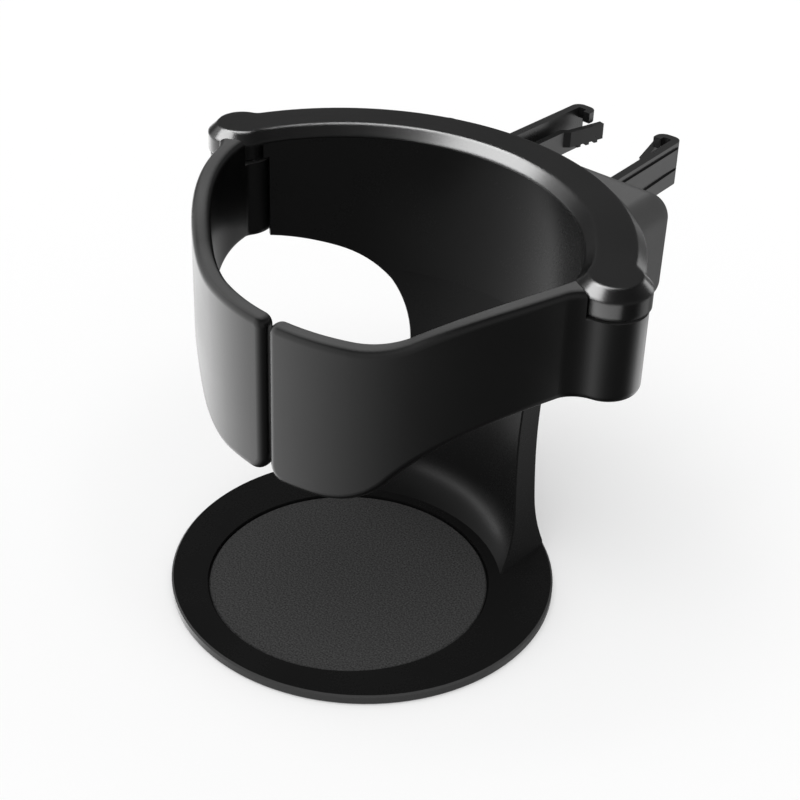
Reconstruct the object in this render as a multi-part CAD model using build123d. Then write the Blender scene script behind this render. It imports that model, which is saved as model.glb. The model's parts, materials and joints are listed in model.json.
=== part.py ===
from build123d import *
import os
from math import atan, atan2, cos, degrees, hypot, radians, sin, tan

# Car cup holder for an air vent, in millimetres.
# The cup axis is Z, the table is Z = 0, the arms close at -Y and the vent hooks point to +Y.

# Ring: the cover seen from above and the hollow band below it
ring_inner_r = 43.3
ring_width = 11.5
ring_top = 85.4
cover_t = 2.4
cover_bevel = 2.0
cover_lip = 0.6
shell_t = 2.4
trough_depth = 19.4
band_h = 31.4

# Back wall below the ring: it leans in towards the base and narrows to a waist
lean_drop = 32.4
lean_in = 7.1
spine_t = 6.2
spine_edge = 0.35
inner_flare_h = 9.5
inner_flare_reach = 3.4
outer_flare_h = 10.0
outer_flare_reach = 2.6
flare_sink = 0.1
waist_half = 15.8
waist_z = 35.0
foot_half = 24.4
sweep_end_x = 30.5
sweep_end_drop = 27.4
ring_end_slope = 25.0
wall_end_set = 3.0

# Base disc and rubber pad
disc_set_in = 3.2
disc_y = 5.8
disc_t = 2.2
disc_edge = 0.35
pad_margin = 11.1
pad_y = 1.3
pad_t = 0.7
pad_edge = 0.25
recess_gap = 0.4
recess_depth = 1.05

# Hinges: cap, lug and barrel share one upright axis
hinge_angle = 21.95
hinge_set_out = 1.0
cap_bulge = 0.25
cap_h = 5.5
cap_blend_r = 14.0
cap_valley_r = 0.5
cap_wall = 0.9
barrel_r = 6.6
cap_gap = 0.9
swing_gap = 0.35

# Arms: plates bent to an arc about an axis behind the hinges, heights below the ring's top
arm_set_in = 2.88
arm_axis_back = 3.8
arm_t = 3.8
arm_gap = 1.0
tip_low_drop = 44.8
tip_high_drop = 10.6
root_low_drop = 23.4
root_high_drop = 0.6
low_sweep_start = -21.0
low_sweep_end = 23.4
low_sweep_knee = 0.296
high_sweep_start = -15.6
high_sweep_end = 23.9
high_sweep_knee = 0.288
tip_low_corner = 3.6
tip_high_corner = 2.2
arm_edge = 1.7
web_outer_r = 6.0
web_inner_r = 2.0

# Hinge hardware: shoulder screw from below, washer and torsion spring
screw_r = 2.0
screw_play = 0.05
screw_head_r = 3.6
screw_head_h = 1.6
screw_top_gap = 0.4
socket_width = 2.5
socket_depth = 0.9
washer_r = 3.9
washer_t = 0.6
washer_play = 0.25
head_recess = 0.4
counterbore_play = 0.3
spring_mean_r = 3.6
spring_wire_r = 0.45
spring_wire_sides = 6
spring_pitch = 2.25
spring_turns = 4
spring_play = 0.2
pocket_wall = 2.2
pocket_depth = 10.2
spring_leg = 2.9

# Clip housing behind the ring
housing_w = 61.0
housing_low_w = 60.4
housing_drop = 6.4
housing_h = 24.0
housing_depth = 10.3
housing_corner = 5.0
housing_edge = 4.0
housing_wall = 2.0
seat_gap = 0.1

# Vent hooks: strip with a turned-in nose, and a sprung tongue beside it
hook_x = 15.1
hook_drop = 2.5
hook_h = 10.0
hook_t = 1.8
hook_len = 27.7
hook_lean = 2.4
nose_reach = 5.6
nose_r = 1.2
nose_lip = 3.0
tongue_drop = 2.8
tongue_h = 3.6
tongue_t = 1.4
tongue_gap = 1.0
tongue_straight = 18.0
tongue_jog = 1.2
tongue_len = 28.1
tongue_flare = 2.0
tongue_play = 0.4
tooth_count = 3
tooth_w = 0.9
tooth_h = 0.55
tooth_pitch = 2.4
root_flange = 1.5
root_grip = 1.2
root_play = 0.2
slot_play = 0.3
groove_t = 1.0
groove_depth = 0.45
groove_inset = 1.2
taper_tall = 2.2
taper_low = 0.6
taper_drop = 6.3

# Small fasteners
fastener_r = 1.1
fastener_play = 0.08
fastener_head_r = 2.2
fastener_head_h = 1.4
fastener_boss_r = 2.7
cross_w = 0.7
cross_len = 2.6
cross_depth = 0.8
housing_screw_drops = (17.0, 7.0)
housing_screw_len = 11.5
cover_screw_angle = 46.0
cover_screw_len = 12.0
cover_screw_web = 3.0

# Worked-out places
ring_outer_r = ring_inner_r + ring_width
band_outer_r = ring_outer_r - cover_lip
band_top = ring_top - cover_t
band_foot = ring_top - band_h
trough_floor = ring_top - trough_depth
lean_top = ring_top - lean_drop
sweep_end_z = ring_top - sweep_end_drop
foot_inner_r = ring_inner_r - lean_in
disc_r = ring_inner_r - disc_set_in
pad_r = disc_r - pad_margin
skirt_low = ring_top - cap_h
barrel_top = skirt_low - cap_gap
hinge_reach = ring_inner_r + ring_width / 2 + hinge_set_out
cap_r = hinge_reach - ring_inner_r + cap_bulge
lug_r = cap_r - cap_wall - seat_gap
hinge_x = hinge_reach * cos(radians(hinge_angle))
hinge_y = hinge_reach * sin(radians(hinge_angle))
arm_axis_y = hinge_y + arm_axis_back
arm_r = hypot(hinge_x, arm_axis_back) - arm_set_in - arm_t / 2
arm_mid_angle = degrees(atan2(hinge_x, arm_axis_back)) / 2
tip_low = ring_top - tip_low_drop
tip_high = ring_top - tip_high_drop
root_low = ring_top - root_low_drop
root_high = ring_top - root_high_drop
pocket_r = barrel_r - pocket_wall
pocket_floor = barrel_top - pocket_depth
housing_back = band_outer_r + housing_depth
housing_top = ring_top - housing_drop
housing_low = housing_top - housing_h
housing_screw_zs = [housing_top - drop for drop in housing_screw_drops]
hook_top = housing_top - hook_drop
tongue_top = hook_top - tongue_drop
taper_z = hook_top - taper_drop
hook_tip_y = housing_back + hook_len
tongue_bend_y = housing_back + tongue_straight
tongue_end_y = housing_back + tongue_len
far = 3 * ring_outer_r
tiny = 0.01


def slab(plan, low, high):
    return extrude(plan.moved(Location((0, 0, low))), amount=high - low, dir=(0, 0, 1))


def post(radius, low, high, x=0.0, y=0.0):
    return slab(Circle(radius), low, high).moved(Location((x, y, 0)))


def back_post(radius, front, back, x, z):
    disc = Plane(origin=(x, front, z), z_dir=(0, 1, 0)) * Circle(radius)
    return extrude(disc, amount=back - front, dir=(0, 1, 0))


def mirrored(shape):
    return mirror(shape, about=Plane.YZ)


def both_sides(shape):
    return shape + mirrored(shape)


def s_curve(start, end, knee):
    """Two tangent arcs, level at both ends, that meet on the chord at the knee."""
    (x0, z0), (x1, z1) = start, end
    turn = 2 * atan((z1 - z0) / (x1 - x0))
    middle = (x0 + knee * (x1 - x0), z0 + knee * (z1 - z0))
    first = TangentArc(start, middle, tangent=(1, 0))
    second = TangentArc(middle, end, tangent=(cos(turn), sin(turn)))
    return [first, second]


def back_wedge(end_angle):
    """Plan of everything behind two lines that leave the cup axis at the given angle."""
    x, y = far * cos(radians(end_angle)), far * sin(radians(end_angle))
    return Polygon((0, 0), (x, y), (x, far), (-x, far), (-x, y), align=None)


def ring_plan(inner, outer, end_angle):
    """Plan of a C-shaped band that ends at the given angle on both sides."""
    return (Circle(outer) - Circle(inner)) & back_wedge(end_angle)


def wall_profile():
    """Half section of the wall, radius across and height up, with both flares at its foot."""
    lean = lean_in / (lean_top - disc_t)
    tilt = atan(lean)
    low = disc_t - flare_sink
    down = (-sin(tilt), -cos(tilt))

    def wall_r(z, out):
        return foot_inner_r + (z - disc_t) * lean + out

    def flare(out, height, reach):
        top = disc_t + height
        return (wall_r(top, out), top), (wall_r(low, out) + reach, low)

    inner_wall, inner_foot = flare(0, inner_flare_h, -inner_flare_reach)
    outer_wall, outer_foot = flare(spine_t, outer_flare_h, outer_flare_reach)
    shoulder_z = band_foot - band_outer_r + wall_r(band_foot, spine_t)
    shoulder = (wall_r(shoulder_z, spine_t), shoulder_z)
    edges = [
        Line((ring_inner_r, band_top), (ring_inner_r, lean_top)),
        Line((ring_inner_r, lean_top), inner_wall),
        TangentArc(inner_wall, inner_foot, tangent=down),
        Line(inner_foot, (inner_foot[0], low / 2)),
        Line((inner_foot[0], low / 2), (outer_foot[0], low / 2)),
        Line((outer_foot[0], low / 2), outer_foot),
        TangentArc(outer_wall, outer_foot, tangent=down),
        Line(outer_wall, shoulder),
        Line(shoulder, (band_outer_r, band_foot)),
        Line((band_outer_r, band_foot), (band_outer_r, band_top)),
        Line((band_outer_r, band_top), (ring_inner_r, band_top)),
    ]
    return Plane.XZ * make_face(Wire(edges))


def wall_outline():
    """Front view of the wall: band, waist and spreading foot."""
    end_x = ring_outer_r + cap_r
    end_z = sweep_end_z + (end_x - sweep_end_x) * tan(radians(ring_end_slope))
    waist = (waist_half, waist_z)
    sweep_end = (sweep_end_x, sweep_end_z)
    half = [
        Line((0, 0), (foot_half, 0)),
        TangentArc(waist, (foot_half, 0), tangent=(0, -1)),
        TangentArc(waist, sweep_end, tangent=(0, 1)),
        Line(sweep_end, (end_x, end_z)),
        Line((end_x, end_z), (end_x, ring_top)),
        Line((end_x, ring_top), (0, ring_top)),
        Line((0, ring_top), (0, 0)),
    ]
    face = Plane.XZ * make_face(Wire(half))
    return both_sides(extrude(face, amount=far, both=True))


def cover_screw_place():
    middle_r = (ring_inner_r + band_outer_r) / 2
    return middle_r * cos(radians(cover_screw_angle)), middle_r * sin(radians(cover_screw_angle))


def base_disc():
    disc = post(disc_r, 0, disc_t, 0, disc_y)
    disc = chamfer(disc.edges().filter_by(GeomType.CIRCLE), disc_edge)
    return disc - post(pad_r + recess_gap, disc_t - recess_depth, disc_t, 0, pad_y)


def spine_rims(wall):
    """The upright inner edges of the waist, between the foot's flare and the band."""

    def off_wall(edge):
        mid = edge @ 0.5
        wall_r = foot_inner_r + (mid.Z - disc_t) * lean_in / (lean_top - disc_t)
        return abs(hypot(mid.X, mid.Y) - wall_r)

    return [e for e in wall.edges().filter_by(GeomType.BSPLINE) if off_wall(e) < tiny]


def make_frame():
    sweep = 180 - 2 * hinge_angle
    wall = revolve(wall_profile(), axis=Axis.Z, revolution_arc=sweep)
    wall = wall.moved(Rotation(0, 0, hinge_angle)) & wall_outline()
    rim = Circle(disc_r - disc_edge).moved(Location((0, disc_y, 0)))
    wall -= slab(Circle(far) - rim, 0, disc_t + outer_flare_h)
    wall = chamfer(spine_rims(wall), spine_edge)
    lug = post(lug_r, skirt_low, band_top, hinge_x, hinge_y)
    barrel_room = both_sides(post(barrel_r + swing_gap, waist_z, skirt_low, hinge_x, hinge_y))
    wall_end = hinge_angle + degrees(wall_end_set / ring_inner_r)
    barrel_room += slab(Circle(far) - back_wedge(wall_end), waist_z, skirt_low)
    screw_hole = post(screw_r + screw_play, skirt_low, band_top, hinge_x, hinge_y)
    leg_hole = post(spring_wire_r + spring_play, skirt_low, band_top, hinge_x - spring_mean_r, hinge_y)

    end_angle = hinge_angle + degrees((barrel_r + swing_gap + shell_t) / hinge_reach)
    trough_plan = ring_plan(ring_inner_r + shell_t, band_outer_r - shell_t, end_angle)
    trough = slab(trough_plan, trough_floor, band_top)

    x, y = cover_screw_place()
    seat = trough_floor - cover_screw_web
    cover_hole = post(fastener_r + fastener_play, seat, trough_floor, x, y)
    cover_hole += post(fastener_head_r + counterbore_play, band_foot, seat, x, y)
    body = wall - barrel_room + both_sides(lug) + base_disc()
    body = body - trough - both_sides(screw_hole + leg_hole + cover_hole)
    for z in housing_screw_zs:
        tip = housing_back - fastener_head_h - housing_screw_len
        body -= back_post(fastener_r + fastener_play, tip - fastener_r, housing_back, 0, z)
    return body


def cover_plan():
    """Plan of the cover: the ring runs smoothly into the caps inside, with a valley outside."""
    caps = both_sides(Circle(cap_r).moved(Location((hinge_x, hinge_y, 0))))
    plan = ring_plan(ring_inner_r, ring_outer_r, hinge_angle) + caps
    for reach, radius in ((ring_inner_r, cap_blend_r), (ring_outer_r, cap_valley_r)):
        corners = [v for v in plan.vertices() if abs(hypot(v.X, v.Y) - reach) < tiny]
        plan = fillet(corners, radius)
    return plan


def make_cover():
    plate = slab(cover_plan(), band_top, ring_top)
    plate = chamfer(plate.faces().sort_by(Axis.Z)[-1].edges(), cover_bevel)
    room_end = hinge_angle - degrees(seat_gap / hinge_reach)
    room = ring_plan(ring_inner_r - seat_gap, ring_outer_r + seat_gap, room_end)
    room += both_sides(Circle(lug_r + seat_gap).moved(Location((hinge_x, hinge_y, 0))))
    skirt = cover_plan() - room
    x, y = cover_screw_place()
    boss = post(fastener_boss_r, trough_floor, band_top, x, y)
    pilot = post(fastener_r + fastener_play, trough_floor, band_top, x, y)
    return plate + slab(skirt, skirt_low, band_top) + both_sides(boss - pilot)


def make_pad():
    pad = post(pad_r, disc_t - recess_depth, disc_t - recess_depth + pad_t, 0, pad_y)
    return chamfer(pad.edges().filter_by(GeomType.CIRCLE).sort_by(Axis.Z)[-1], pad_edge)


def arm_plate_plan():
    """Plan of the right arm's plate: an arc from the tip to the hinge line."""
    hinge_line = Vector(hinge_x, hinge_y - arm_axis_y).normalized() * far
    tip_x = arm_gap / 2
    end = (hinge_line.X, arm_axis_y + hinge_line.Y)
    sector = Polygon((tip_x, arm_axis_y), end, (far, -far), (tip_x, -far), align=None)
    return (Circle(arm_r + arm_t) - Circle(arm_r)).moved(Location((0, arm_axis_y, 0))) & sector


def arm_web_plan():
    """Plan of plate and barrel with the corners between them filled."""
    hinge, axis = Vector(hinge_x, hinge_y), Vector(0, arm_axis_y)
    plan = arm_plate_plan() + Circle(barrel_r).moved(Location((hinge_x, hinge_y, 0)))
    joints = plan.vertices().sort_by(lambda v: (Vector(v) - hinge).length)[:2]
    joints = joints.sort_by(lambda v: (Vector(v) - axis).length)
    plan = fillet(joints[-1], web_outer_r)
    inner = plan.vertices().sort_by(lambda v: (Vector(v) - Vector(joints[0])).length)[0]
    return fillet(inner, web_inner_r)


def arm_outline():
    """The arm seen square to its middle: low and wide at the tip, swept up to the hinge."""
    tip = -(arm_r + arm_t)
    root = hinge_reach + barrel_r
    low = s_curve((low_sweep_start, tip_low), (low_sweep_end, root_low), low_sweep_knee)
    high = s_curve((high_sweep_start, tip_high), (high_sweep_end, root_high), high_sweep_knee)
    edges = [
        Line((tip, tip_low), (low_sweep_start, tip_low)),
        *low,
        Line((low_sweep_end, root_low), (root, root_low)),
        Line((root, root_low), (root, root_high)),
        Line((root, root_high), (high_sweep_end, root_high)),
        *high,
        Line((high_sweep_start, tip_high), (tip, tip_high)),
        Line((tip, tip_high), (tip, tip_low)),
    ]
    middle = radians(arm_mid_angle)
    across = (cos(middle), sin(middle), 0)
    view = Plane(origin=(0, arm_axis_y, 0), x_dir=across, z_dir=(sin(middle), -cos(middle), 0))
    return extrude(view * make_face(Wire(edges)), amount=far)


def arm_rims(arm):
    """The curved edges of the arm's upper and lower faces, and the upright ones of its tip."""
    curved = [e for e in arm.edges() if e.geom_type != GeomType.LINE]
    return curved + [e for e in arm.edges().filter_by(Axis.Z) if (e @ 0.5).X < arm_gap]


def make_arm():
    arm = slab(arm_web_plan(), tip_low, root_high) & arm_outline()
    for end, radius in ((0, tip_low_corner), (-1, tip_high_corner)):
        tip = arm.faces().sort_by(Axis.X)[0]
        arm = fillet(tip.edges().sort_by(Axis.Z)[end], radius)
    arm = fillet(arm_rims(arm), arm_edge)
    arm -= post(cap_r + swing_gap, barrel_top, ring_top, hinge_x, hinge_y)
    shelf = root_low + head_recess + screw_head_h + washer_t + washer_play
    bore = post(screw_r + screw_play, root_low, barrel_top, hinge_x, hinge_y)
    bore += post(washer_r + counterbore_play, root_low, shelf, hinge_x, hinge_y)
    bore += post(pocket_r, pocket_floor, barrel_top, hinge_x, hinge_y)
    slot_w = 2 * (spring_wire_r + spring_play)
    slot = Box(pocket_r + pocket_wall / 2, slot_w, slot_w, align=(Align.MAX, Align.CENTER, Align.MIN))
    return arm - bore - slot.moved(Location((hinge_x, hinge_y, pocket_floor)))


def make_hinge_screw():
    low = root_low + head_recess
    screw = post(screw_head_r, low, low + screw_head_h) + post(screw_r, low, band_top - screw_top_gap)
    socket = slab(RegularPolygon(socket_width / 2, 6, major_radius=False), low, low + socket_depth)
    return (screw - socket).moved(Location((hinge_x, hinge_y, 0)))


def make_washer():
    low = root_low + head_recess + screw_head_h
    ring = slab(Circle(washer_r) - Circle(screw_r + screw_play), low, low + washer_t)
    return ring.moved(Location((hinge_x, hinge_y, 0)))


def make_spring():
    low = pocket_floor + spring_wire_r + spring_play
    height = spring_pitch * spring_turns
    coil = Helix(spring_pitch, height, spring_mean_r)
    section = Plane(origin=coil @ 0, z_dir=coil % 0) * RegularPolygon(spring_wire_r, spring_wire_sides)
    wire = sweep(section, path=coil, is_frenet=True).moved(Location((0, 0, low), (0, 0, 180)))
    leg_end = pocket_r + pocket_wall / 2 - spring_play
    low_leg = Plane(origin=(-spring_mean_r, 0, low), z_dir=(-1, 0, 0)) * Circle(spring_wire_r)
    low_leg = extrude(low_leg, amount=leg_end - spring_mean_r)
    high_leg = post(spring_wire_r, low + height, low + height + spring_leg, -spring_mean_r, 0)
    return (wire + low_leg + high_leg).moved(Location((hinge_x, hinge_y, 0)))


def housing_view():
    """The housing seen from behind, narrower at the bottom."""
    top, low = housing_w / 2, housing_low_w / 2
    corners = [(-top, housing_top), (top, housing_top), (low, housing_low), (-low, housing_low)]
    return make_face(FilletPolyline(*corners, radius=housing_corner, close=True))


def make_housing():
    view = Plane(origin=(0, 0, 0), x_dir=(1, 0, 0), z_dir=(0, -1, 0))
    outer = extrude(view * housing_view(), amount=-housing_back)
    outer = fillet(outer.faces().sort_by(Axis.Y)[-1].edges(), housing_edge)
    inside = offset(housing_view(), amount=-housing_wall)
    body = outer - extrude(view * inside, amount=housing_wall - housing_back)
    seat = housing_back - 2 * fastener_head_h
    for z in housing_screw_zs:
        body += back_post(fastener_head_r + housing_wall, 0, housing_back - housing_wall, 0, z)
        body -= back_post(fastener_r + fastener_play, 0, housing_back, 0, z)
        body -= back_post(fastener_head_r + counterbore_play, seat, housing_back, 0, z)
    return body - both_sides(hook_slot()) - post(band_outer_r + seat_gap, 0, ring_top)


def hook_turn():
    """The hooks lean in towards each other from where they leave the housing."""
    pivot = Location((hook_x, housing_back, 0))
    return pivot * Rotation(0, 0, hook_lean) * pivot.inverse()


def hook_slot():
    """The slot in the housing's back wall for strip and tongue."""
    width = hook_t + tongue_gap + tongue_t + 2 * slot_play
    corner = (Align.MAX, Align.CENTER, Align.MAX)
    slot = Box(width, 3 * housing_wall, hook_h + 2 * slot_play, align=corner)
    slot = slot.moved(Location((hook_x + slot_play, housing_back - housing_wall / 2, hook_top + slot_play)))
    return slot.moved(hook_turn())


def hook_teeth(start, along):
    """Small teeth on the lower edge of the tongue's flared end."""
    turn = degrees(atan2(along.Y, along.X)) + 90
    teeth = []
    for i in range(tooth_count):
        place = start + along * (tooth_pitch * (i + 1))
        tooth = Box(tongue_t, tooth_w, 2 * tooth_h)
        teeth.append(tooth.moved(Location((place.X, place.Y, tongue_top - tongue_h), (0, 0, turn))))
    return teeth


def make_hook():
    low = hook_top - hook_h
    root_back = housing_back - housing_wall - root_play
    start_y = root_back - root_grip
    strip_x = hook_x - hook_t / 2
    nose_x = hook_x - nose_reach + hook_t / 2
    nose_y = hook_tip_y - hook_t / 2
    lip_y = hook_tip_y - nose_lip
    turns = [(strip_x, start_y), (strip_x, nose_y), (nose_x, nose_y), (nose_x, lip_y)]
    hook = slab(trace(FilletPolyline(*turns, radius=nose_r), hook_t), low, hook_top)
    under_nose = Box(nose_reach, hook_len, hook_h, align=(Align.MAX, Align.MIN, Align.MAX))
    hook -= under_nose.moved(Location((hook_x - hook_t, housing_back, tongue_top + tongue_play)))
    tongue_x = hook_x - hook_t - tongue_gap - tongue_t / 2
    bend = Vector(tongue_x - tongue_jog, tongue_bend_y + tongue_jog)
    end = Vector(bend.X - tongue_flare, tongue_end_y)
    path = Polyline((tongue_x, start_y), (tongue_x, tongue_bend_y), (bend.X, bend.Y), (end.X, end.Y))
    low_z = tongue_top - tongue_h
    hook += slab(trace(path, tongue_t), low_z, tongue_top)
    hook += hook_teeth(bend, (end - bend).normalized())

    groove = Box(groove_depth, nose_y - housing_back, groove_t, align=(Align.MAX, Align.MIN, Align.CENTER))
    hook -= groove.moved(Location((hook_x, housing_back, hook_top - groove_inset)))
    tall, thin = taper_tall / 2, taper_low / 2
    taper = Polygon(
        (housing_back, taper_z - tall),
        (nose_y, taper_z - thin),
        (nose_y, taper_z + thin),
        (housing_back, taper_z + tall),
        align=None,
    )
    side = Plane(origin=(hook_x, 0, 0), x_dir=(0, 1, 0), z_dir=(1, 0, 0))
    hook -= extrude(side * taper, amount=-groove_depth)

    root_w = hook_t + tongue_gap + tongue_t + 2 * root_flange
    root = Box(root_w, root_back, hook_h + root_flange, align=(Align.MAX, Align.MAX, Align.MAX))
    root = root.moved(Location((hook_x + root_flange, root_back, hook_top)))
    return hook.moved(hook_turn()) + (root - post(band_outer_r + root_play, 0, ring_top))


def fastener(length):
    """Pan-head screw, head below the origin and shank along +Z."""
    head = post(fastener_head_r, -fastener_head_h, 0)
    bar = Box(cross_len, cross_w, cross_depth, align=(Align.CENTER, Align.CENTER, Align.MIN))
    cross = (bar + bar.moved(Rotation(0, 0, 90))).moved(Location((0, 0, -fastener_head_h)))
    return head - cross + post(fastener_r, 0, length)


def make_housing_screws():
    seat = housing_back - 2 * fastener_head_h
    lie = Plane(origin=(0, seat, 0), z_dir=(0, -1, 0)).location
    screw = fastener(housing_screw_len - fastener_head_h).moved(lie)
    return [screw.moved(Location((0, 0, z))) for z in housing_screw_zs]


def make_cover_screws():
    x, y = cover_screw_place()
    screw = fastener(cover_screw_len).moved(Location((x, y, trough_floor - cover_screw_web)))
    return [screw, mirrored(screw)]


def save(name, shapes):
    solids = [s for shape in shapes for s in shape.solids()]
    shape = solids[0] if len(solids) == 1 else Compound(children=solids)
    export_step(shape, f"parts/{name}.step")


def main():
    os.makedirs("parts", exist_ok=True)
    save("frame", [make_frame()])
    save("top_cover", [make_cover()])
    save("base_pad", [make_pad()])
    save("clip_housing", [make_housing()])
    sided = {
        "arm": make_arm(),
        "hinge_screw": make_hinge_screw(),
        "hinge_washer": make_washer(),
        "hinge_spring": make_spring(),
        "vent_hook": make_hook(),
    }
    for name, shape in sided.items():
        save(f"{name}_right", [shape])
        save(f"{name}_left", [mirrored(shape)])
    save("housing_screws", make_housing_screws())
    save("cover_screws", make_cover_screws())


main()
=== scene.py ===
import json
from math import cos, pi, radians, sin

import bpy
from mathutils import Matrix, Vector


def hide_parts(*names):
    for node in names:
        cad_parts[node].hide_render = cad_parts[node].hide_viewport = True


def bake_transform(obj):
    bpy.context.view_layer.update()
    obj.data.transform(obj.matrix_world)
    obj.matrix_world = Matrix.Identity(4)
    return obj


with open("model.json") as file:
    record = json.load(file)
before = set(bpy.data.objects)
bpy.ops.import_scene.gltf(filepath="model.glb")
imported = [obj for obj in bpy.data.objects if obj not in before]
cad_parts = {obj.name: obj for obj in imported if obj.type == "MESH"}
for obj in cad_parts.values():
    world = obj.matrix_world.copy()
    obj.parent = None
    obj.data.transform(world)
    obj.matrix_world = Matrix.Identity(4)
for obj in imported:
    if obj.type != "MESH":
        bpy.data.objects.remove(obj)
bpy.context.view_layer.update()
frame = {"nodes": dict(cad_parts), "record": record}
print("frame loaded:", len(frame["nodes"]), "nodes")


# Node helpers

def addNode(tree, kind, inputs=None, **settings):
    node = tree.nodes.new(kind)
    for name, value in settings.items():
        setattr(node, name, value)
    for name, value in (inputs or {}).items():
        if isinstance(value, bpy.types.NodeSocket):
            tree.links.new(value, node.inputs[name])
        else:
            node.inputs[name].default_value = value
    return node


def noiseOf(tree, coords, scale, detail=2.0, roughness=0.5):
    values = {"Vector": coords, "Scale": scale, "Detail": detail, "Roughness": roughness}
    return addNode(tree, "ShaderNodeTexNoise", values).outputs["Fac"]


def rangeOf(tree, value, low, high, fromLow=0.0, fromHigh=1.0):
    ends = {"Value": value, "From Min": fromLow, "From Max": fromHigh, "To Min": low, "To Max": high}
    return addNode(tree, "ShaderNodeMapRange", ends).outputs["Result"]


def mathOf(tree, operation, first, second):
    node = addNode(tree, "ShaderNodeMath", operation=operation)
    for socket, value in zip(node.inputs, (first, second)):
        if isinstance(value, bpy.types.NodeSocket):
            tree.links.new(value, socket)
        else:
            socket.default_value = value
    return node.outputs["Value"]


def mixOf(tree, factor, first, second):
    node = addNode(tree, "ShaderNodeMix", data_type="RGBA")
    for index, source in ((0, factor), (6, first), (7, second)):  # the node's colour sockets
        tree.links.new(source, node.inputs[index])
    return node.outputs[2]


def newGroup(name, inputs, outputs):
    tree = bpy.data.node_groups.new(name, "ShaderNodeTree")
    for label, kind, value in inputs:
        socket = tree.interface.new_socket(label, in_out="INPUT", socket_type=kind)
        socket.default_value = value
    for label, kind in outputs:
        tree.interface.new_socket(label, in_out="OUTPUT", socket_type=kind)
    return tree, tree.nodes.new("NodeGroupInput").outputs, tree.nodes.new("NodeGroupOutput").inputs


# Moulded skin: fine pebble of the mould plus slow changes of gloss from cooling and handling, and a
# painted highlight, a lighter grey on faces that point up
skinMix = {"patchShare": 0.7, "grainShare": 0.3, "patchDetail": 3.0, "grainDetail": 1.0,
           "spread": (0.3, 0.7), "middle": 0.5, "topHighlight": (0.7, 0.95)}
skinOutputs = [
    ("Colour", "NodeSocketColor"),
    ("Roughness", "NodeSocketFloat"),
    ("Height", "NodeSocketFloat"),
]


def makeSkinGroup(mix):
    inputs = [
        ("Colour", "NodeSocketColor", (0.01, 0.01, 0.01, 1.0)),
        ("Grain Scale", "NodeSocketFloat", 2500.0),
        ("Patch Scale", "NodeSocketFloat", 60.0),
        ("Rough Low", "NodeSocketFloat", 0.3),
        ("Rough High", "NodeSocketFloat", 0.4),
        ("Tint", "NodeSocketFloat", 0.2),
        ("Rim", "NodeSocketFloat", 0.0),
        ("Highlight Colour", "NodeSocketColor", (0.05, 0.05, 0.05, 1.0)),
    ]
    tree, given, out = newGroup("mouldedSkin", inputs, skinOutputs)
    place = addNode(tree, "ShaderNodeTexCoord").outputs
    coords = place["Object"]
    patches = noiseOf(tree, coords, given["Patch Scale"], detail=mix["patchDetail"])
    grain = noiseOf(tree, coords, given["Grain Scale"], detail=mix["grainDetail"])
    slow = mathOf(tree, "MULTIPLY", patches, mix["patchShare"])
    fine = mathOf(tree, "MULTIPLY", grain, mix["grainShare"])
    mixed = mathOf(tree, "ADD", slow, fine)
    rough = rangeOf(tree, mixed, given["Rough Low"], given["Rough High"], *mix["spread"])
    # painted highlight: where the normal points up, the colour turns towards a lighter grey, in place
    # of the light the arms' top edges catch
    rise = addNode(tree, "ShaderNodeSeparateXYZ", {"Vector": place["Normal"]}).outputs["Z"]
    topHighlight = mathOf(tree, "MULTIPLY", rangeOf(tree, rise, 0.0, 1.0, *mix["topHighlight"]), given["Rim"])
    colourWithHighlight = mixOf(tree, topHighlight, given["Colour"], given["Highlight Colour"])
    drift = mathOf(tree, "MULTIPLY", mathOf(tree, "SUBTRACT", patches, mix["middle"]), given["Tint"])
    lighter = mathOf(tree, "ADD", 1.0, drift)
    tinted = addNode(tree, "ShaderNodeVectorMath", operation="SCALE")
    tree.links.new(colourWithHighlight, tinted.inputs[0])
    tree.links.new(lighter, tinted.inputs["Scale"])
    tree.links.new(tinted.outputs[0], out["Colour"])
    tree.links.new(rough, out["Roughness"])
    tree.links.new(grain, out["Height"])
    return tree


# Rubber skin: coarse pebbles in the pad's face, each a little lighter on its crest
pebbleMix = {"detail": 3.0, "roughness": 0.65, "crest": (0.32, 0.7), "rough": (0.95, 0.75)}


def makeRubberGroup(mix):
    inputs = [
        ("Dark", "NodeSocketColor", (0.02, 0.02, 0.02, 1.0)),
        ("Light", "NodeSocketColor", (0.08, 0.08, 0.08, 1.0)),
        ("Pebble Scale", "NodeSocketFloat", 1800.0),
    ]
    tree, given, out = newGroup("rubberPebble", inputs, skinOutputs)
    coords = addNode(tree, "ShaderNodeTexCoord").outputs["Object"]
    pebble = noiseOf(tree, coords, given["Pebble Scale"], mix["detail"], mix["roughness"])
    crest = rangeOf(tree, pebble, 0.0, 1.0, *mix["crest"])
    tree.links.new(mixOf(tree, crest, given["Dark"], given["Light"]), out["Colour"])
    tree.links.new(rangeOf(tree, crest, *mix["rough"]), out["Roughness"])
    tree.links.new(pebble, out["Height"])
    return tree
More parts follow.
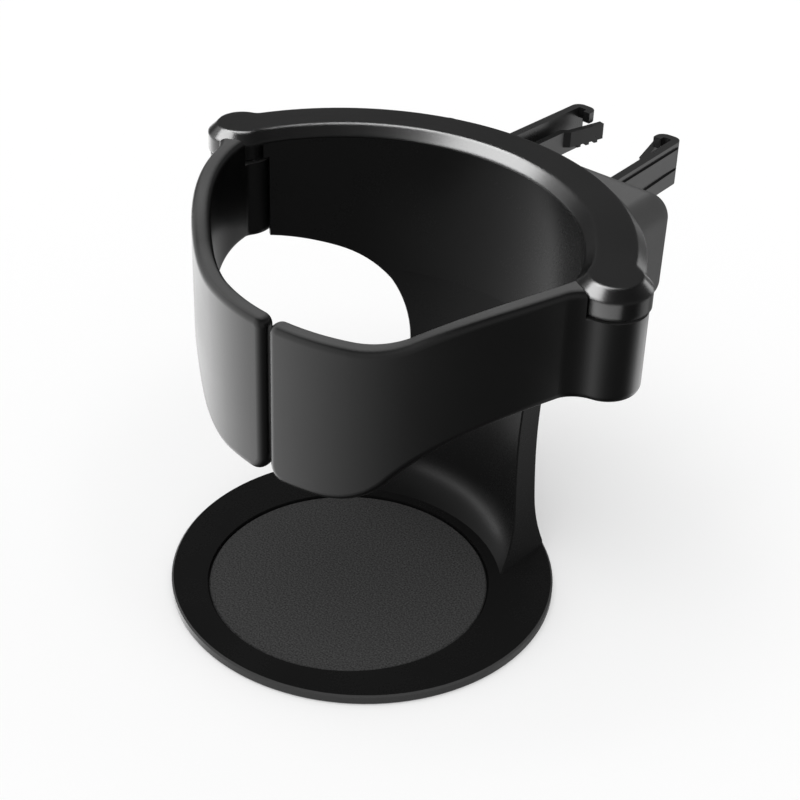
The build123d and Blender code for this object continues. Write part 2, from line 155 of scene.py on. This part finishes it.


# Frame's foot: a mask for the rim of its disc, where a lighter grey is a painted highlight
def makeFootGroup():
    inputs = [
        ("Centre", "NodeSocketVector", (0.0, 0.0, 0.0)),
        ("Rim Radius", "NodeSocketFloat", 0.04),
        ("Rim Height", "NodeSocketFloat", 0.003),
    ]
    tree, given, out = newGroup("frameFoot", inputs, [("Rim", "NodeSocketFloat")])
    coords = addNode(tree, "ShaderNodeTexCoord").outputs["Object"]
    height = addNode(tree, "ShaderNodeSeparateXYZ", {"Vector": coords}).outputs["Z"]
    offset = addNode(tree, "ShaderNodeVectorMath", operation="SUBTRACT")
    tree.links.new(coords, offset.inputs[0])
    tree.links.new(given["Centre"], offset.inputs[1])
    flat = addNode(tree, "ShaderNodeVectorMath", operation="MULTIPLY")
    tree.links.new(offset.outputs[0], flat.inputs[0])
    flat.inputs[1].default_value = (1.0, 1.0, 0.0)
    reach = addNode(tree, "ShaderNodeVectorMath", operation="LENGTH")
    tree.links.new(flat.outputs[0], reach.inputs[0])
    outside = mathOf(tree, "GREATER_THAN", reach.outputs["Value"], given["Rim Radius"])
    below = mathOf(tree, "LESS_THAN", height, given["Rim Height"])
    tree.links.new(mathOf(tree, "MULTIPLY", outside, below), out["Rim"])
    return tree


skinGroup = makeSkinGroup(skinMix)
rubberGroup = makeRubberGroup(pebbleMix)
footGroup = makeFootGroup()


# Materials

def newMaterial(name):
    mat = bpy.data.materials.new(name)
    mat.use_nodes = True
    mat.node_tree.nodes.clear()
    output = mat.node_tree.nodes.new("ShaderNodeOutputMaterial")
    shader = mat.node_tree.nodes.new("ShaderNodeBsdfPrincipled")
    mat.node_tree.links.new(shader.outputs["BSDF"], output.inputs["Surface"])
    return mat, mat.node_tree, shader


def placeGroup(tree, group, values):
    node = tree.nodes.new("ShaderNodeGroup")
    node.node_tree = group
    for name, value in values.items():
        node.inputs[name].default_value = value
    return node


edgeSamples = 6  # rays that soften an edge


def wireSkin(tree, shader, skin, bump):
    tree.links.new(skin.outputs["Colour"], shader.inputs["Base Color"])
    tree.links.new(skin.outputs["Roughness"], shader.inputs["Roughness"])
    relief = addNode(tree, "ShaderNodeBump", {"Strength": bump["strength"], "Distance": bump["depth"]})
    tree.links.new(skin.outputs["Height"], relief.inputs["Height"])
    if "edge" in bump:
        softened = addNode(tree, "ShaderNodeBevel", {"Radius": bump["edge"]}, samples=edgeSamples)
        tree.links.new(softened.outputs["Normal"], relief.inputs["Normal"])
    tree.links.new(relief.outputs["Normal"], shader.inputs["Normal"])


def grey(level):
    return (level, level, level, 1.0)


def plastic(name, look):
    mat, tree, shader = newMaterial(name)
    skin = placeGroup(tree, skinGroup, {
        "Colour": grey(look["tone"]),
        "Grain Scale": look["grain"],
        "Patch Scale": look["patch"],
        "Rough Low": look["rough"][0],
        "Rough High": look["rough"][1],
        "Tint": look["tint"],
        "Rim": look.get("rim", 0.0),
        "Highlight Colour": grey(look.get("topHighlightTone", 0.0)),
    })
    wireSkin(tree, shader, skin, look["bump"])
    shader.inputs["Specular IOR Level"].default_value = look["specular"]
    return mat


coverLook = {"tone": 0.003, "grain": 3000.0, "patch": 45.0, "rough": (0.2, 0.26), "tint": 0.3,
             "specular": 0.5, "bump": {"strength": 0.04, "depth": 0.0001, "edge": 0.0008}}
# the arms' up-facing tops take a painted highlight, a lighter grey than their plastic
armLook = {"tone": 0.003, "grain": 2600.0, "patch": 60.0, "rough": (0.3, 0.36), "tint": 0.3,
           "rim": 1.0, "topHighlightTone": 0.085, "specular": 0.5, "bump": {"strength": 0.06, "depth": 0.0001}}
# the frame's disc rim takes a painted highlight, a lighter grey than its plastic
frameLook = {"tone": 0.009, "grain": 2600.0, "patch": 60.0, "rough": (0.24, 0.3), "tint": 0.3,
             "specular": 0.07, "discRimHighlightTone": 0.05, "discCentre": (0.0, 0.0058, 0.0),
             "rimRadius": 0.0397, "rimHeight": 0.003, "bump": {"strength": 0.06, "depth": 0.0001}}
# painted light: the housing is a lighter copy of the frame's black plastic, several times lighter in
# colour, for the light its faces catch
housingLightenedLook = {"tone": 0.05, "grain": 1800.0, "patch": 60.0, "rough": (0.46, 0.56), "tint": 0.3,
               "specular": 0.6, "bump": {"strength": 0.1, "depth": 0.0001}}
hookLook = {"tone": 0.014, "grain": 2200.0, "patch": 90.0, "rough": (0.26, 0.34), "tint": 0.3,
            "specular": 0.9, "bump": {"strength": 0.08, "depth": 0.0001}}
padLook = {"dark": 0.016, "light": 0.066, "pebble": 2700.0, "specular": 0.25,
           "bump": {"strength": 0.45, "depth": 0.0001}}
steelLook = {"tone": 0.55, "grain": 900.0, "patch": 200.0, "rough": (0.25, 0.4), "tint": 0.2,
             "specular": 0.5, "bump": {"strength": 0.05, "depth": 0.0001}}


def rubber(name, look):
    mat, tree, shader = newMaterial(name)
    skin = placeGroup(tree, rubberGroup, {
        "Dark": grey(look["dark"]),
        "Light": grey(look["light"]),
        "Pebble Scale": look["pebble"],
    })
    wireSkin(tree, shader, skin, look["bump"])
    shader.inputs["Specular IOR Level"].default_value = look["specular"]
    return mat


def footed(name, look):
    mat = plastic(name, look)
    tree, shader = mat.node_tree, mat.node_tree.nodes["Principled BSDF"]
    foot = placeGroup(tree, footGroup, {
        "Centre": look["discCentre"],
        "Rim Radius": look["rimRadius"],
        "Rim Height": look["rimHeight"],
    })
    # painted highlight: outside the rim radius and low down, the colour turns to a lighter grey
    skinColour = shader.inputs["Base Color"].links[0].from_socket
    rimHighlightColour = addNode(tree, "ShaderNodeRGB").outputs[0]
    rimHighlightColour.default_value = grey(look["discRimHighlightTone"])
    tree.links.new(mixOf(tree, foot.outputs["Rim"], skinColour, rimHighlightColour), shader.inputs["Base Color"])
    return mat


def steel(name, look):
    mat = plastic(name, look)
    shader = mat.node_tree.nodes["Principled BSDF"]
    shader.inputs["Metallic"].default_value = 1.0
    return mat


finishes = {
    "cover_plastic": plastic("coverSatin", coverLook),
    "arm_plastic": plastic("armSatin", armLook),
    "frame_plastic": footed("frameSatin", frameLook),
    "hook_plastic": plastic("hookGloss", hookLook),
    "pad_rubber": rubber("padPebble", padLook),
    "steel": steel("zincSteel", steelLook),
}
# the housing gets its own lighter copy of the frame's plastic, which paints light onto it
ownFinishes = {"clip_housing": plastic("housingMattLightened", housingLightenedLook)}
for subpart in frame["record"]["subparts"]:
    node = frame["nodes"][subpart["node"]]
    finish = ownFinishes.get(subpart["node"], finishes[subpart["material_slot"]])
    for materialSlot in node.material_slots:
        materialSlot.material = finish
print("finishes placed on", len(frame["nodes"]), "nodes")


# Springs: each spring's mesh is copied into an object of its own and the CAD node is hidden


def windSpring(side):
    node = frame["nodes"]["hinge_spring_" + side]
    coil = bpy.data.objects.new(side + "Coil", node.data.copy())
    coil.matrix_world = node.matrix_world
    bpy.context.scene.collection.objects.link(coil)
    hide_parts("hinge_spring_" + side)
    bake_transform(coil)


bpy.context.view_layer.update()
for side in ("left", "right"):
    windSpring(side)


# Stage

floorSpec = {"reach": 12.0, "tone": 0.93, "lift": 0.35, "white": 0.985}


def makeFloor(spec):
    reach = spec["reach"]
    mesh = bpy.data.meshes.new("floor")
    corners = [(-reach, -reach, 0.0), (reach, -reach, 0.0), (reach, reach, 0.0), (-reach, reach, 0.0)]
    mesh.from_pydata(corners, [], [(0, 1, 2, 3)])
    floor = bpy.data.objects.new("floor", mesh)
    bpy.context.scene.collection.objects.link(floor)
    mat, tree, shader = newMaterial("paleFloor")
    shader.inputs["Base Color"].default_value = grey(spec["tone"])
    shader.inputs["Roughness"].default_value = 1.0
    shader.inputs["Specular IOR Level"].default_value = 0.0
    seen = addNode(tree, "ShaderNodeLightPath").outputs["Is Camera Ray"]
    glow = addNode(tree, "ShaderNodeEmission", {"Color": grey(spec["white"])})
    lift = mathOf(tree, "MULTIPLY", seen, spec["lift"])
    blend = addNode(tree, "ShaderNodeMixShader", {"Fac": lift})
    tree.links.new(shader.outputs["BSDF"], blend.inputs[1])
    tree.links.new(glow.outputs["Emission"], blend.inputs[2])
    tree.links.new(blend.outputs["Shader"], tree.nodes["Material Output"].inputs["Surface"])
    mesh.materials.append(mat)
    floor.visible_glossy = False  # the walls' lower half stands in for what the table mirrors


makeFloor(floorSpec)


# Light: azimuth and elevation as for the camera, radiance times pi times area gives the power
lightCentre = Vector((0.0, 0.01, 0.05))  # where a lamp without an aim of its own points
softboxes = {
    "leftBox": {"azimuth": -42.0, "elevation": 48.0, "distance": 0.75,
                "size": (0.7, 0.36), "radiance": 15.0, "lights": ["top_cover"]},
    "topBox": {"azimuth": -100.0, "elevation": 70.0, "distance": 0.75,
               "size": (0.5, 0.45), "radiance": 20.0, "lights": ["top_cover"]},
    "housingBox": {"azimuth": -140.0, "elevation": 33.0, "distance": 0.8,
                   "size": (0.35, 0.35), "radiance": 2.5, "lights": ["clip_housing"]},
    "backBox": {"azimuth": 170.0, "elevation": 10.0, "distance": 0.9,
                "size": (0.25, 0.5), "radiance": 2.5, "lights": ["top_cover"]},
    "barrelBox": {"azimuth": 165.0, "elevation": -31.0, "distance": 0.07, "aim": (0.053, 0.019, 0.062),
                  "size": (0.06, 0.036), "radiance": 1.6, "lights": ["arm_right"]},
    "capBox": {"azimuth": 15.0, "elevation": -30.0, "distance": 0.11, "aim": (0.048, 0.012, 0.08),
               "size": (0.18, 0.03), "radiance": 3.0, "lights": ["top_cover"]},
    "footBox": {"azimuth": -38.0, "elevation": 4.0, "distance": 0.5, "aim": (0.005, 0.035, 0.007),
                "size": (0.7, 0.06), "radiance": 10.0, "lights": ["frame"]},
}
sunSpec = {"azimuth": 20.0, "elevation": 80.0, "spread": 60.0, "strength": 1.35}
studioWalls = {  # (azimuth, level) round the room, above and below the table's edge
    "high": [(-180, 0.2), (-94, 0.15), (-84, 1.6), (-50, 1.6), (-5, 1.0), (15, 0.35),
             (110, 0.35), (180, 0.2)],
    "low": [(-180, 0.25), (-165, 0.4), (-140, 1.0), (-95, 3.2), (-60, 2.2), (-20, 1.5), (15, 0.6),
            (35, 0.2), (60, 0.1), (105, 0.06), (118, 0.3), (130, 0.9), (152, 0.9), (165, 0.3),
            (180, 0.25)],
    "blend": (-16.0, -5.0),  # elevations between which low turns into high
    "under": (-65.0, -40.0),  # elevations between which the floor's shade fades
    "underLevel": 0.12,
    "ceiling": (25.0, 45.0),
    "ceilingLevel": 0.3,
    "diffuse": 0.66,  # what lights the matt share of a surface
    "seen": 0.985,  # what the camera sees
}
halfTurn = 180.0


def fromSide(azimuth, elevation):
    a, e = radians(azimuth), radians(elevation)
    return Vector((sin(a) * cos(e), -cos(a) * cos(e), sin(e)))


def addLight(name, light, place, back):
    lamp = bpy.data.objects.new(name, light)
    lamp.matrix_world = Matrix.Translation(place) @ back.to_track_quat("Z", "Y").to_matrix().to_4x4()
    bpy.context.scene.collection.objects.link(lamp)
    return lamp


for name, spec in softboxes.items():
    light = bpy.data.lights.new(name, "AREA")
    light.shape = "RECTANGLE"
    light.size, light.size_y = spec["size"]
    light.energy = spec["radiance"] * pi * light.size * light.size_y
    back = fromSide(spec["azimuth"], spec["elevation"])
    aim = Vector(spec.get("aim", lightCentre))
    lamp = addLight(name, light, aim + back * spec["distance"], back)
    lamp.visible_diffuse = False
    lit = bpy.data.collections.new(name + "Lit")
    for nodeName in spec["lights"]:
        lit.objects.link(frame["nodes"][nodeName])
    lamp.light_linking.receiver_collection = lit

sun = bpy.data.lights.new("overhead", "SUN")
sun.energy = sunSpec["strength"]
sun.angle = radians(sunSpec["spread"])
overhead = addLight("overhead", sun, lightCentre, fromSide(sunSpec["azimuth"], sunSpec["elevation"]))
overhead.visible_glossy = False


def wallRamp(tree, turn, stops):
    peak = max(level for _, level in stops)
    ramp = addNode(tree, "ShaderNodeValToRGB", {"Fac": turn})
    marks = ramp.color_ramp.elements
    while len(marks) < len(stops):
        marks.new(0.5)  # placed below
    for mark, (azimuth, level) in zip(marks, stops):
        mark.position = (azimuth + halfTurn) / (2.0 * halfTurn)
        mark.color = grey(level / peak)
    return mathOf(tree, "MULTIPLY", ramp.outputs["Color"], peak)


def makeWorld(walls):
    world = bpy.data.worlds.new("studio")
    bpy.context.scene.world = world
    world.use_nodes = True
    tree = world.node_tree
    way = addNode(tree, "ShaderNodeTexCoord").outputs["Generated"]
    axis = addNode(tree, "ShaderNodeSeparateXYZ", {"Vector": way}).outputs
    angle = mathOf(tree, "ARCTAN2", axis["X"], mathOf(tree, "MULTIPLY", axis["Y"], -1.0))
    turn = rangeOf(tree, angle, 0.0, 1.0, -pi, pi)
    low, high = (sin(radians(e)) for e in walls["blend"])
    rise = rangeOf(tree, axis["Z"], 0.0, 1.0, low, high)
    lowLevel, highLevel = wallRamp(tree, turn, walls["low"]), wallRamp(tree, turn, walls["high"])
    climb = mathOf(tree, "MULTIPLY", rise, mathOf(tree, "SUBTRACT", highLevel, lowLevel))
    level = mathOf(tree, "ADD", lowLevel, climb)
    deep, shallow = (sin(radians(e)) for e in walls["under"])
    shade = rangeOf(tree, axis["Z"], walls["underLevel"], 1.0, deep, shallow)
    level = mathOf(tree, "MULTIPLY", level, shade)
    start, full = (sin(radians(e)) for e in walls["ceiling"])
    dimming = rangeOf(tree, axis["Z"], 1.0, walls["ceilingLevel"], start, full)
    level = mathOf(tree, "MULTIPLY", level, dimming)
    path = addNode(tree, "ShaderNodeLightPath").outputs
    for ray, plain in (("Is Diffuse Ray", walls["diffuse"]), ("Is Camera Ray", walls["seen"])):
        change = mathOf(tree, "SUBTRACT", plain, level)
        level = mathOf(tree, "ADD", level, mathOf(tree, "MULTIPLY", path[ray], change))
    tree.links.new(level, tree.nodes["Background"].inputs["Color"])


makeWorld(studioWalls)
print("lights:", len(softboxes) + 1)


# Camera at the photograph's viewing angle

cameraSpec = {"azimuth": 39.4, "elevation": 33.11, "roll": 2.05, "distance": 0.3599,
              "target": (0.00511, 0.00996, 0.04464), "lens": 81.617, "sensor": 36.0,
              "clip": (0.01, 50.0)}


def makeCamera(spec):
    data = bpy.data.cameras.new("camera")
    data.lens, data.sensor_width = spec["lens"], spec["sensor"]
    data.clip_start, data.clip_end = spec["clip"]
    camera = bpy.data.objects.new("camera", data)
    azimuth, roll = radians(spec["azimuth"]), radians(spec["roll"])
    right = Vector((cos(azimuth), sin(azimuth), 0.0))
    back = fromSide(spec["azimuth"], spec["elevation"])
    up = back.cross(right)
    turnedRight = right * cos(roll) + up * sin(roll)
    turnedUp = up * cos(roll) - right * sin(roll)
    turn = Matrix((turnedRight, turnedUp, back)).transposed().to_4x4()
    camera.matrix_world = Matrix.Translation(Vector(spec["target"]) + back * spec["distance"]) @ turn
    bpy.context.scene.collection.objects.link(camera)
    bpy.context.scene.camera = camera


makeCamera(cameraSpec)
bpy.context.scene.view_settings.view_transform = "Standard"
